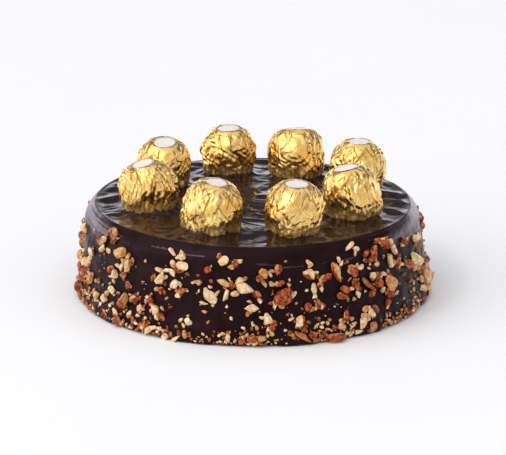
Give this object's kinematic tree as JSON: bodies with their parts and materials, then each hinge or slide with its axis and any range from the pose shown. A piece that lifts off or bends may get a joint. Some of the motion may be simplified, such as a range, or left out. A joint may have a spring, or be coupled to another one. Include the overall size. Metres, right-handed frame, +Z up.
{
  "type": "chocolate hazelnut cake",
  "caption": "Round cake coated in glossy dark ganache, with chopped nuts pressed into the wall and a ring of gold-foil pralines standing on top.",
  "frame": {"origin": "centre of the flat base that the cake rests on", "axes": "+Z up; -Y towards the side shown at the front; +X to the right seen from the front"},
  "size_m": [0.1966, 0.1962, 0.0787],
  "materials": {
    "ganache": "glossy dark chocolate ganache, hand-spread, with palette-knife ripples on top",
    "nut_flesh": "matt cream-coloured broken nut, angular",
    "nut_skin": "roasted red-brown nut skin, slightly oily",
    "gold_foil": "crumpled thin gold foil, bright facets with dark folds",
    "sticker_paper": "smooth white paper, bare"
  },
  "bodies": {
    "root": {"cake": "ganache", "praline_front_left": "gold_foil", "praline_front_right": "gold_foil", "praline_right": "gold_foil", "praline_back_right": "gold_foil", "praline_rear_right": "gold_foil", "praline_rear_left": "gold_foil", "praline_back_left": "gold_foil", "praline_left": "gold_foil", "sticker_front_left": "sticker_paper", "sticker_front_right": "sticker_paper", "sticker_right": "sticker_paper", "sticker_back_right": "sticker_paper", "sticker_rear_right": "sticker_paper", "sticker_rear_left": "sticker_paper", "sticker_back_left": "sticker_paper", "sticker_left": "sticker_paper"}
  },
  "joints": []
}
